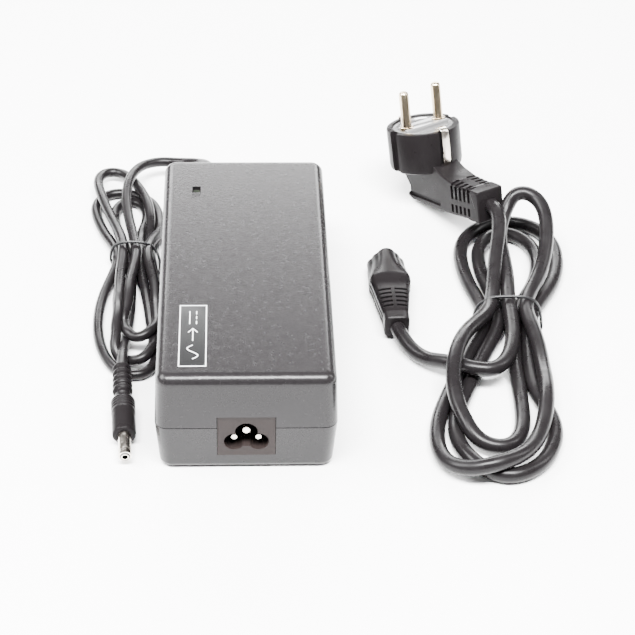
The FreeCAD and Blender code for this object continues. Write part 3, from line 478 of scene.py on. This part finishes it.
def skinned(rings, looped=False):
    """A skin over rings of equally many points, closed at both ends or running round into itself."""
    work = bmesh.new()
    rows = [[work.verts.new(point) for point in ring] for ring in rings]
    for row, after in zip(rows, rows[1:] + (rows[:1] if looped else [])):
        for index in range(len(row)):
            following = (index + 1) % len(row)
            work.faces.new((row[index], row[following], after[following], after[index]))
    if not looped:
        work.faces.new(rows[0])
        work.faces.new(rows[-1])
    bmesh.ops.recalc_face_normals(work, faces=work.faces)
    return work


def turned(outline, segments=AROUND, looped=False, reach=None):
    """Turn (height, radius) pairs about Z; reach(height, radius, angle) may change the radius on the way."""
    rings = []
    for height, radius in outline:
        ring = []
        for step in range(segments):
            angle = math.tau * step / segments
            here = reach(height, radius, angle) if reach else radius
            ring.append((here * math.cos(angle), here * math.sin(angle), height))
        rings.append(ring)
    return skinned(rings, looped)


def extruded(outline, low, high):
    """An outline of (x, z) pairs drawn along Y."""
    return skinned([[(x, y, z) for x, z in outline] for y in (low, high)])


def blocks(*wanted):
    """Closed boxes in one mesh, each (middle, size, turn about Z in degrees)."""
    work = bmesh.new()
    for middle, size, turn in wanted:
        where = Matrix.Translation(middle) @ Matrix.Rotation(math.radians(turn), 4, "Z")
        bmesh.ops.create_cube(work, size=1.0, matrix=where @ Matrix.Diagonal((*size, 1.0)))
    return work


def oval(y, half_x, half_z, middle, power):
    """A rounded rectangle across Y: the higher the power, the squarer."""
    ring = []
    for step in range(AROUND):
        angle = math.tau * step / AROUND
        cos, sin = math.cos(angle), math.sin(angle)
        reach = ((abs(cos) / half_x) ** power + (abs(sin) / half_z) ** power) ** (-1 / power)
        ring.append((reach * cos, y, middle + reach * sin))
    return ring


def mixed_ring(first, second, share):
    """The ring that is the given share of the way from the first to the second."""
    pairs = zip(first, second)
    return [tuple((1 - share) * a + share * b for a, b in zip(one, other)) for one, other in pairs]


def heading(line, index):
    """Which way a flat line of points runs at one of them."""
    after = line[min(index + 1, len(line) - 1)]
    before = line[max(index - 1, 0)]
    return Vector((after[0] - before[0], after[1] - before[1])).normalized()


def as_object(name, work, place):
    """The mesh, out of its own axes and into the frame's."""
    work.transform(place)
    mesh = bpy.data.meshes.new(name)
    work.to_mesh(mesh)
    work.free()
    return added(name, mesh)


def settled(made):
    """Put the modifiers' result into the mesh."""
    bpy.context.view_layer.update()
    graph = bpy.context.evaluated_depsgraph_get()
    mesh = bpy.data.meshes.new_from_object(made.evaluated_get(graph))
    mesh.validate()
    made.modifiers.clear()
    made.data = mesh


def eased(made, width, angle=30.0, segments=3):
    """Round the edges that are sharper than that angle."""
    rounding = made.modifiers.new("rounding", "BEVEL")
    rounding.width = width * MM
    rounding.segments = segments
    rounding.limit_method = "ANGLE"
    rounding.angle_limit = math.radians(angle)
    settled(made)


def combined(made, other, operation):
    """Join another closed shape to a piece, or cut it out of the piece."""
    merging = made.modifiers.new("merging", "BOOLEAN")
    merging.object = other
    merging.operation = operation
    merging.solver = "EXACT"
    merging.use_self = True
    settled(made)
    bpy.data.objects.remove(other)


def carved(made, work, place, rounding=0.25):
    """Cut shapes out of a piece, their own edges rounded first."""
    tool = as_object("tool", work, place)
    if rounding:
        eased(tool, width=rounding)
    combined(made, tool, "DIFFERENCE")


def finish_piece(made, slot, body, *stands_for, material=None, smooth=35.0):
    """Smooth shading between sharp edges, the slot's finish, and its place among the model's parts."""
    made.data.materials.clear()
    made.data.materials.append(material or finishes[slot].material)
    made.data.shade_smooth()
    made.data.set_sharp_from_angle(angle=math.radians(smooth))
    if stands_for:
        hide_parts(*stands_for)
    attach(made, body)
    return made


# ---------------------------------------------------------------- DC plug

# The plug's axis starts at the end of its lead. Its outlines are (height, radius) along that axis.
DC_PLUG_RUN = Vector((3.6, -54.2, -4.0))
DC_PLUG = placed(-53.7, -24.6, 8.7) @ DC_PLUG_RUN.to_track_quat("Z", "Y").to_matrix().to_4x4()
# The boot's ribs: each a little thicker than the last, its sides falling by RIB_CROWN over RIB_STEPS.
RIB_COUNT, RIB_START, RIB_PITCH, RIB_WIDTH = 5, 0.4, 3.4, 2.1
RIB_RADIUS, RIB_GROWTH, RIB_CROWN = 4.0, 0.08, 1.0
RIB_STEPS = (0.0, 0.08, 0.25, 0.5, 0.75, 0.92, 1.0)
# The spines: their radius, and how far round to the side (1 is right at it) they start and are full.
SPINE_RADIUS, SPINE_FROM, SPINE_BLEND = 3.72, 0.72, 0.12
# The fine rings round the top of the body.
RING_COUNT, RING_START, RING_PITCH = 4, 22.2, 1.5
RING_OUTLINE = ((0.0, 5.2), (0.25, 4.95), (0.55, 4.95), (0.8, 5.2))
# The rest of the grip, from the lead's end to the hollow face that the contacts stand in.
GRIP_END = [(0.0, 2.4), (0.0, 3.3)]
GRIP_NECK = [(17.5, 3.3), (18.2, 3.55), (20.0, 3.75), (20.9, 4.4), (21.6, 5.05)]
GRIP_BODY = [(29.0, 5.2), (30.5, 5.0), (40.9, 5.05), (41.6, 4.95), (42.0, 4.6), (42.0, 2.78), (36.0, 2.78),
             (36.0, 2.4)]
# The outer contact: a thin tube with a groove rolled in behind its mouth.
BARREL = [(36.2, 2.15), (36.2, 2.72), (50.6, 2.75), (50.9, 2.5), (51.5, 2.5), (51.8, 2.75), (53.9, 2.7),
          (54.0, 2.55), (54.0, 2.15)]
# The ring of plastic between the two contacts, rounded at the mouth.
INSULATOR = [(36.4, 1.7), (36.4, 2.13), (54.1, 2.13), (54.5, 1.95), (54.55, 1.75), (54.3, 1.7)]


def grip_outline():
    """Radii along the grip: five ribs, a smooth neck, fine rings, then the plain body and its face."""
    outline = list(GRIP_END)
    for rib in range(RIB_COUNT):
        start = RIB_START + RIB_PITCH * rib
        radius = RIB_RADIUS + RIB_GROWTH * rib
        for share in RIB_STEPS:
            outline.append((start + RIB_WIDTH * share, radius - RIB_CROWN * (2 * share - 1) ** 4))
    outline += GRIP_NECK
    for ring in range(RING_COUNT):
        start = RING_START + RING_PITCH * ring
        outline += [(start + along, radius) for along, radius in RING_OUTLINE]
    return outline + GRIP_BODY


def between_spines(height, radius, angle):
    """The grooves between the ribs stop at a spine along the grip's right and left sides."""
    if not RIB_START <= height <= RIB_COUNT * RIB_PITCH:
        return radius
    spine = min(1.0, max(0.0, (abs(math.sin(angle)) - SPINE_FROM) / SPINE_BLEND))
    return radius + spine * max(0.0, SPINE_RADIUS - radius)


def make_dc_plug():
    """The grip, the outer contact and the plastic ring in it; the inner contact is the frame's own."""
    grip = as_object("dc_grip", turned(grip_outline(), looped=True, reach=between_spines), DC_PLUG)
    finish_piece(grip, "moulded_pvc", "adapter", "dc_plug_grip", smooth=50.0)
    barrel = as_object("dc_sleeve", turned(BARREL, looped=True), DC_PLUG)
    finish_piece(barrel, "pin_nickel", "adapter", "dc_plug_barrel")
    ring = as_object("dc_ring", turned(INSULATOR, looped=True), DC_PLUG)
    finish_piece(ring, "insulator_plastic", "adapter", "dc_plug_insulator")
    return [grip, barrel, ring, nodes["dc_plug_contact"]]


# ---------------------------------------------------------------- line connector

# The connector runs along its own -Y, from the nose's face to the cord.
CONNECTOR = placed(66.6, 57.0, 4.9, yaw=2.0)
# The nose: circles (x, z, radius) that its outline goes round, and (y, scale) along it.
LOBES = ((-5.0, 0.0, 3.9), (5.0, 0.0, 3.9), (0.0, 5.0, 4.4), (-2.3, 2.6, 4.5), (2.3, 2.6, 4.5))
LOBE_HEART = 1.8
NOSE = ((0.0, 0.93), (-0.5, 0.985), (-1.0, 1.0), (-4.0, 1.0))
# The wedge-topped shoulders: (y, share of the way from the nose's outline to the body's).
SHOULDERS = ((-7.0, 0.08), (-10.0, 0.25), (-13.5, 0.5), (-16.5, 0.72), (-19.0, 0.86), (-21.0, 0.94))
SHOULDER_LOBES = 1.03
SHOULDER_OVAL = (9.7, 7.1, 2.3, 4.5)
# The body and the square tail: (y, half width, half height, middle height).
BODY = ((-24.0, 8.9, 6.0, 2.1), (-26.5, 8.5, 5.8, 2.0), (-29.0, 8.2, 5.9, 2.0), (-36.0, 7.2, 5.9, 2.0),
        (-45.0, 5.9, 5.4, 2.0), (-46.4, 5.4, 5.1, 2.0), (-47.0, 5.9, 5.8, 2.0), (-51.4, 5.7, 5.7, 2.0),
        (-52.0, 5.3, 5.3, 2.0))
BODY_SQUARENESS = 5.0
# The slots across its top, either side of a ridge, shorter and lower towards the tail.
SLOT_COUNT, SLOT_START, SLOT_PITCH = 5, -31.0, 2.9
SLOT_LONG, SLOT_SHORTENS, SLOT_WIDE, SLOT_DEEP = 6.4, 0.4, 1.3, 2.6
SLOT_HEIGHT, SLOT_FALLS, SLOT_TURN, HALF_RIDGE = 7.9, 0.11, 7.0, 0.7
# The grooves along its flanks, which follow the body's taper.
FLANK_COUNT, FLANK_START, FLANK_PITCH = 4, -2.4, 2.7
FLANK_PLACE = (7.75, -31.0)
FLANK_SIZE = (2.0, 29.0, 1.3)
FLANK_TURN = 8.2
# The three openings in the nose's face.
POLES = ((-5.0, 0.0), (5.0, 0.0), (0.0, 5.0))
POLE_MIDDLE = -4.0
POLE_SIZE = (2.6, 9.0, 4.4)


def lobed(y, scale):
    """The nose's outline: how far its circles reach from the heart, whichever reaches furthest."""
    ring = []
    for step in range(AROUND):
        angle = math.tau * step / AROUND
        cos, sin = math.cos(angle), math.sin(angle)
        reach = 0.0
        for x, z, radius in LOBES:
            z -= LOBE_HEART
            along = x * cos + z * sin
            beside = radius ** 2 - (x * x + z * z - along * along)
            if beside > 0:
                reach = max(reach, along + math.sqrt(beside))
        ring.append((scale * reach * cos, y, LOBE_HEART + scale * reach * sin))
    return ring


def connector_slots():
    """The cuts across the top and along the flanks."""
    cuts = []
    for row in range(SLOT_COUNT):
        y = SLOT_START - SLOT_PITCH * row
        reach = SLOT_LONG - SLOT_SHORTENS * row
        height = SLOT_HEIGHT - SLOT_FALLS * row
        for side in SIDES:
            middle = (side * (HALF_RIDGE + reach / 2), y, height)
            cuts.append((middle, (reach, SLOT_WIDE, SLOT_DEEP), -side * SLOT_TURN))
    for side in SIDES:
        for rib in range(FLANK_COUNT):
            x, y = FLANK_PLACE
            cuts.append(((side * x, y, FLANK_START + FLANK_PITCH * rib), FLANK_SIZE, -side * FLANK_TURN))
    return cuts


def make_connector():
    """Nose, wedge-topped shoulders, a ribbed body and a square tail that the cord leaves by."""
    rings = [lobed(y, scale) for y, scale in NOSE]
    rings += [mixed_ring(lobed(y, SHOULDER_LOBES), oval(y, *SHOULDER_OVAL), share) for y, share in SHOULDERS]
    rings += [oval(*section, BODY_SQUARENESS) for section in BODY]
    body = as_object("connector_moulding", skinned(rings), CONNECTOR)
    carved(body, blocks(*connector_slots()), CONNECTOR)
    poles = [((x, POLE_MIDDLE, z), POLE_SIZE, 0.0) for x, z in POLES]
    carved(body, blocks(*poles), CONNECTOR, rounding=0.4)
    finish_piece(body, "moulded_pvc", "mains_lead", "connector_body", smooth=30.0)


# ---------------------------------------------------------------- mains plug

# The pins point along its own +Z from the face at 0, 19 mm apart in Y, and the neck leads away along +X.
PLUG = placed(88.0, 126.0, 39.2, yaw=-58.5, pitch=-16.2, roll=-1.4)
DRUM_RADIUS, DRUM_HEIGHT = 18.0, 20.6
DRUM = [(-DRUM_HEIGHT, 16.6), (-DRUM_HEIGHT + 0.7, 17.5), (-18.0, DRUM_RADIUS - 0.1), (-1.0, DRUM_RADIUS),
        (-0.35, DRUM_RADIUS - 0.2), (0.0, DRUM_RADIUS - 0.8), (0.0, 15.2), (-0.4, 14.85), (-2.0, 14.8)]
# The guide grooves down the drum's sides, and the pockets that the earth springs lie in.
GROOVE_OUT, GROOVE_MIDDLE, GROOVE_SIZE = 17.2, -10.0, (5.0, 3.0, 30.0)
POCKET_OUT, POCKET_MIDDLE, POCKET_SIZE = 18.0, -9.0, (3.4, 6.2, 20.5)
# The neck from the side, as (x, z): its heel, its underside, its end and its top.
HALF_NECK = 7.5
NECK = ((-14.0, -15.0), (-13.8, -20.5), (-12.4, -22.8), (-8.2, -27.2), (-5.2, -31.2), (-5.4, -33.8),
        (-7.6, -35.3), (-7.6, -36.8), (-4.4, -38.1), (8.0, -38.6), (22.0, -38.6), (30.0, -38.2),
        (41.0, -37.4), (44.0, -37.9), (51.0, -37.6), (51.0, -22.2), (44.0, -21.8), (41.5, -22.4),
        (30.0, -21.6), (22.0, -19.4), (16.5, -16.6), (14.0, -15.0))
# The groove above the lip on each side of the heel: its middle and its size.
LIP_PLACE, LIP_SIZE = (7.0, 7.7, -34.9), (26.0, 3.2, 2.4)
# The strain relief's slots, in rows. Each kind of slot is (ahead of its row, how far out, height in the first
# row, rise with each row, size, turn): tall ones, ones across the top edge, and short ones below.
RELIEF_ROWS, RELIEF_START, RELIEF_PITCH = 5, 30.8, 3.3
RELIEF_CUTS = ((-0.4, 7.4, -26.4, 0.2, (1.8, 3.4, 6.8), 12.0),
               (0.0, 4.9, -21.8, -0.1, (1.8, 5.6, 3.0), 12.0),
               (-0.8, 7.4, -34.6, 0.2, (1.8, 3.4, 4.2), 0.0))
# The carrier: a dished disc, a raised bridge between the pins, and a hole for an outlet's earth pin.
CARRIER = [(-2.0, 0.05), (-2.0, 14.7), (-0.7, 14.75), (-0.5, 14.4), (-0.5, 12.6), (-1.1, 12.2), (-1.1, 0.05)]
BRIDGE = [(-4.6, -1.8), (-4.6, 0.1), (-3.8, 0.5), (3.8, 0.5), (4.6, 0.1), (4.6, -1.8)]
HALF_BRIDGE = 12.2
EARTH_HOLE = [(-1.5, 2.4), (3.0, 2.4)]
EARTH_HOLE_PLACE = (-9.0, 0.0, 0.0)
# A pin on its flange, as (height, radius).
PIN_OFFSET = 9.5
PIN = [(-9.8, 2.1), (-0.4, 2.1), (-0.4, 3.4), (0.9, 3.4), (1.15, 3.1), (1.15, 2.5), (1.6, 2.4), (17.2, 2.4),
       (18.2, 2.1), (18.8, 1.4), (19.0, 0.7)]
PIN_SEGMENTS = 48
# An earth spring from the side, as (x, z): from the face, over the rim and down the drum.
SPRING = ((13.4, 0.5), (14.6, 1.1), (16.4, 1.2), (17.7, 0.6), (18.25, -0.8), (18.3, -4.0), (18.45, -10.0),
          (18.2, -15.4), (17.6, -17.4), (16.7, -18.2))
HALF_SPRING_WIDE, HALF_SPRING_THICK = 2.0, 0.35


def relief_slots():
    """The slots of the strain relief: tall ones that turn over the top edge, short ones below them."""
    cuts = []
    for row in range(RELIEF_ROWS):
        x = RELIEF_START + RELIEF_PITCH * row
        for side in SIDES:
            for ahead, out, height, rise, size, turn in RELIEF_CUTS:
                cuts.append(((x + ahead, side * out, height + rise * row), size, -side * turn))
    return cuts


def make_neck():
    """The flat neck under the drum, with its lips and its slotted strain relief."""
    neck = as_object("neck", extruded(NECK, -HALF_NECK, HALF_NECK), PLUG)
    eased(neck, width=2.3, segments=5)
    carved(neck, blocks(*relief_slots()), PLUG, rounding=0.3)
    x, out, height = LIP_PLACE
    lips = [((x, side * out, height), LIP_SIZE, 0.0) for side in SIDES]
    carved(neck, blocks(*lips), PLUG, rounding=0.8)
    return neck


def make_plug_body():
    """The drum with its guide grooves, and the neck that leads away under it to the strain relief."""
    drum = as_object("plug_moulding", turned(DRUM), PLUG)
    grooves = [((0.0, side * GROOVE_OUT, GROOVE_MIDDLE), GROOVE_SIZE, 0.0) for side in SIDES]
    pockets = [((side * POCKET_OUT, 0.0, POCKET_MIDDLE), POCKET_SIZE, 0.0) for side in SIDES]
    carved(drum, blocks(*grooves, *pockets), PLUG, rounding=0.4)
    combined(drum, make_neck(), "UNION")
    return finish_piece(drum, "moulded_pvc", "mains_lead", "plug_body", smooth=32.0)


def make_plug_face():
    """The carrier in the drum, with the bridge across it and the earth pin's hole cut into it. Its light grey
    is painted reflection.
    """
    face = as_object("plug_carrier", turned(CARRIER), PLUG)
    bridge = as_object("bridge", extruded(BRIDGE, -HALF_BRIDGE, HALF_BRIDGE), PLUG)
    eased(bridge, width=0.5)
    combined(face, bridge, "UNION")
    hole = turned(EARTH_HOLE, segments=PIN_SEGMENTS)
    carved(face, hole, PLUG @ Matrix.Translation(EARTH_HOLE_PLACE), rounding=0.0)
    return finish_piece(face, "plug_face_plastic", "mains_lead", "plug_face", smooth=30.0)


def make_pin(name, side):
    """A round pin on its flange."""
    place = PLUG @ Matrix.Translation((0.0, side * PIN_OFFSET, 0.0))
    pin = as_object(name, turned(PIN, segments=PIN_SEGMENTS), place)
    return finish_piece(pin, "pin_nickel", "mains_lead", "plug_pins", material=BRASS, smooth=40.0)


def make_spring(name, side):
    """An earth spring: a flat strip that hooks over the rim of the drum."""
    rings = []
    for index, (x, z) in enumerate(SPRING):
        run = heading(SPRING, index)
        out_x = -run.y * HALF_SPRING_THICK
        out_z = run.x * HALF_SPRING_THICK
        rings.append([
            (side * (x + face * out_x), edge * HALF_SPRING_WIDE, z + face * out_z)
            for face, edge in ((1, -1), (1, 1), (-1, 1), (-1, -1))])
    strip = as_object(name, skinned(rings), PLUG)
    eased(strip, width=0.15, angle=50.0)
    return finish_piece(strip, "pin_nickel", "mains_lead", "plug_earth_strips", smooth=50.0)


def make_mains_plug():
    """The whole plug, as the list of its pieces."""
    return [
        make_plug_body(), make_plug_face(),
        make_pin("plug_pin_near", -1), make_pin("plug_pin_far", 1),
        make_spring("earth_spring_front", 1), make_spring("earth_spring_rear", -1)]


# ---------------------------------------------------------------- ties

# Each tie goes once round its hank, and its slack is bent out beside it.
TIE_WIRE = 1.3 * MM
DC_TIE = in_metres([
    (-58.6, 61.4, 2.2), (-61.4, 61.2, 1.6), (-63.0, 62.8, 2.4), (-63.0, 64.2, 6.0), (-61.8, 64.5, 9.6),
    (-58.4, 64.5, 12.0), (-53.0, 64.5, 12.4), (-48.0, 64.5, 12.2), (-43.6, 64.5, 10.4), (-41.0, 63.6, 7.0),
    (-39.8, 60.0, 5.6), (-39.4, 54.5, 4.6), (-40.0, 51.6, 2.6), (-40.6, 55.0, 1.2), (-42.6, 60.6, 0.8),
    (-47.0, 64.4, 0.75), (-54.0, 64.5, 0.75), (-60.0, 65.6, 0.75)])
MAINS_TIE = in_metres([
    (104.5, 12.4, 0.8), (104.2, 15.6, 1.0), (104.4, 17.0, 4.6), (105.6, 17.0, 9.4), (108.6, 17.0, 12.8),
    (112.6, 17.0, 14.7), (119.6, 17.0, 15.0), (126.4, 17.0, 14.8), (131.2, 17.0, 13.2), (133.8, 17.0, 9.6),
    (135.0, 17.0, 5.4), (135.6, 15.6, 1.6), (135.2, 11.0, 0.8), (133.0, 9.4, 0.8), (132.2, 12.0, 0.75),
    (126.0, 17.0, 0.7), (116.0, 17.4, 0.7), (108.0, 19.6, 0.7)])


def make_tie(name, points, body, node):
    """A plastic-coated wire, bent round a hank."""
    wire = make_cord(name, points, TIE_WIRE)
    wire.data.materials.append(finishes["tie_wire"].material)
    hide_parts(node)
    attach(wire, body)


# ---------------------------------------------------------------- badge

# Width along its own X, length along Y, height from the bottom of its recess.
BADGE = placed(-21.8, -52.4, 47.45)
BADGE_WIDE, BADGE_LONG, BADGE_THICK = 11.4, 40.8, 0.4
BORDER_WIDE, BORDER_HEIGHT = 0.45, 0.5
MARK_FOOT, MARK_HEIGHT, MARK_LINE = 0.3, 0.52, 0.42
WAVE_START, WAVE_LONG, WAVE_REACH, WAVE_STEPS = -15.5, 9.0, 2.2, 24
ARROW = ([(0.0, -3.6), (0.0, 4.4)], [(-1.9, 2.0), (0.0, 4.6), (1.9, 2.0)])
STEADY_LINE = [(-1.4, 7.6), (-1.4, 16.2)]
DASH_STARTS, DASH_LONG, DASH_ACROSS = (7.6, 10.9, 14.2), 2.0, 1.4


def stroke(points):
    """A flat line along points on the badge."""
    rings = []
    for index, (x, y) in enumerate(points):
        run = heading(points, index) * (MARK_LINE / 2)
        left, right = (x - run.y, y + run.x), (x + run.y, y - run.x)
        rings.append([(*left, MARK_FOOT), (*right, MARK_FOOT), (*right, MARK_HEIGHT), (*left, MARK_HEIGHT)])
    return skinned(rings)


def badge_marks():
    """Generic power marks, read along the badge: an alternating wave, an arrow, a steady line over dashes."""
    wave = []
    for step in range(WAVE_STEPS + 1):
        share = step / WAVE_STEPS
        wave.append((WAVE_REACH * math.sin(math.tau * share), WAVE_START + WAVE_LONG * share))
    dashes = [[(DASH_ACROSS, start), (DASH_ACROSS, start + DASH_LONG)] for start in DASH_STARTS]
    return [wave, *ARROW, STEADY_LINE, *dashes]


def badge_border():
    """Four flat bars round the edge of the badge."""
    out_x, out_y = (BADGE_WIDE - BORDER_WIDE) / 2, (BADGE_LONG - BORDER_WIDE) / 2
    middle = BORDER_HEIGHT / 2
    rails = [((side * out_x, 0.0, middle), (BORDER_WIDE, BADGE_LONG, BORDER_HEIGHT), 0.0) for side in SIDES]
    across = (BADGE_WIDE - 2 * BORDER_WIDE, BORDER_WIDE, BORDER_HEIGHT)
    ends = [((0.0, side * out_y, middle), across, 0.0) for side in SIDES]
    return blocks(*rails, *ends)


def make_badge():
    """A dark plate with a light border and light marks."""
    size = (BADGE_WIDE, BADGE_LONG, BADGE_THICK)
    plate = as_object("badge", blocks(((0.0, 0.0, BADGE_THICK / 2), size, 0.0)), BADGE)
    eased(plate, width=0.12)
    finish_piece(plate, "badge_plastic", "adapter", "badge_plate")
    border = as_object("badge_border", badge_border(), BADGE)
    finish_piece(border, "badge_plastic", "adapter", material=INK)
    for number, points in enumerate(badge_marks()):
        mark = as_object(f"badge_mark_{number}", stroke(points), BADGE)
        finish_piece(mark, "badge_plastic", "adapter", material=INK)


# ---------------------------------------------------------------- assembly

dc_plug_pieces = make_dc_plug()
make_connector()
plug_pieces = make_mains_plug()
make_tie("dc_wire_tie", DC_TIE, "adapter", "dc_tie")
make_tie("mains_wire_tie", MAINS_TIE, "mains_lead", "mains_tie")
make_badge()

for lead in (dc_cord, mains_cord):
    lead.data.materials.append(finishes["cord_pvc"].material)
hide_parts("dc_cord_run", "dc_cord_hank")
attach(dc_cord, "adapter")
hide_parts("mains_cord_run", "mains_cord_hank", "mains_cord_tail")
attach(mains_cord, "mains_lead")

# ---------------------------------------------------------------- studio

FLOOR_HALF = 3.0
FLOOR_BELOW = 0.0002
FLOOR_TINT = (0.92, 0.92, 0.92, 1)
FLOOR_ROUGHNESS = 0.6
# Each softbox: where it hangs, its width and height in metres, and its power in watts.
SOFTBOXES = {
    "back_softbox": ((0.0, 1.85, 0.88), 2.0, 0.4, 103.0),
    "top_softbox": ((0.0, -0.55, 1.62), 1.4, 0.45, 320.0),
    "left_softbox": ((-1.1, 0.0, 1.05), 0.9, 0.7, 75.0),
    "right_softbox": ((1.2, 0.1, 0.9), 0.3, 0.9, 14.0),
}
SURROUND_TINT = (1, 1, 1, 1)
SURROUND_STRENGTH = 0.35


def make_floor():
    """A wide sheet of white paper, a hair below the model."""
    mesh = bpy.data.meshes.new("floor")
    work = bmesh.new()
    bmesh.ops.create_grid(work, x_segments=1, y_segments=1, size=FLOOR_HALF)
    work.to_mesh(mesh)
    work.free()
    floor = added("floor", mesh)
    floor.location.z = -FLOOR_BELOW
    paper = bpy.data.materials.new("paper")
    paper.use_nodes = True
    shader = paper.node_tree.nodes["Principled BSDF"]
    shader.inputs["Base Color"].default_value = FLOOR_TINT
    shader.inputs["Roughness"].default_value = FLOOR_ROUGHNESS
    mesh.materials.append(paper)


def make_softbox(name, place, wide, high, power):
    """A rectangular light that faces the frame's origin, under the brick."""
    lamp = bpy.data.lights.new(name, "AREA")
    lamp.shape = "RECTANGLE"
    lamp.size = wide
    lamp.size_y = high
    lamp.energy = power
    holder = added(name, lamp)
    holder.location = place
    holder.rotation_euler = (-Vector(place)).to_track_quat("-Z", "Y").to_euler()


def make_surround():
    """Even light from all round, as from the walls of a white room."""
    world = bpy.data.worlds.new("studio")
    world.use_nodes = True
    background = world.node_tree.nodes["Background"]
    background.inputs["Color"].default_value = SURROUND_TINT
    background.inputs["Strength"].default_value = SURROUND_STRENGTH
    bpy.context.scene.world = world


make_floor()
for softbox, settings in SOFTBOXES.items():
    make_softbox(softbox, *settings)
make_surround()
